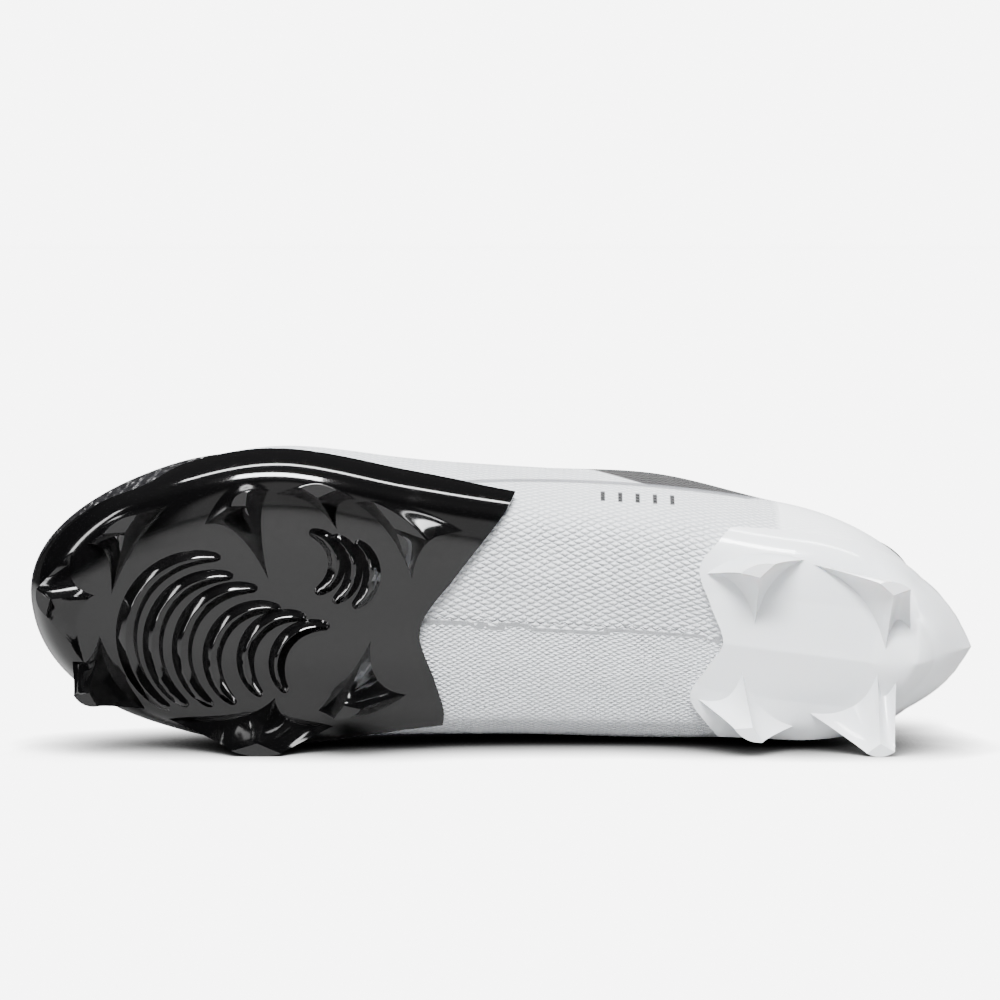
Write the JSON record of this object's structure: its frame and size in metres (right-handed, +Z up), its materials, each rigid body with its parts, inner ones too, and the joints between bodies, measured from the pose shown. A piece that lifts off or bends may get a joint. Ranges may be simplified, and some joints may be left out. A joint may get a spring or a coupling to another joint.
{
  "type": "american football cleat",
  "caption": "Low-cut left football cleat: knit upper, moulded forefoot plate and heel plate with blade studs, lying on its inner side.",
  "frame": {"origin": "centre of the bounding box in plan, on the floor that the shoe lies on", "axes": "+X from the toe towards the heel, -Y out of the sole, +Z up from the floor, towards the outer side of the shoe"},
  "size_m": [0.2978, 0.116, 0.0949],
  "materials": {
    "white_textile": "matte",
    "black_gloss": "gloss",
    "white_gloss": "gloss",
    "black_pebble": "satin",
    "grey_foam": "matte",
    "black_knit": "matte",
    "black_tongue": "matte",
    "white_lace": "matte"
  },
  "bodies": {
    "root": {"upper": "white_textile", "forefoot_plate": "black_gloss", "heel_plate": "white_gloss", "toe_guard": "black_pebble", "insole": "grey_foam", "collar": "black_knit", "tongue": "black_tongue", "laces": "white_lace"}
  },
  "joints": []
}
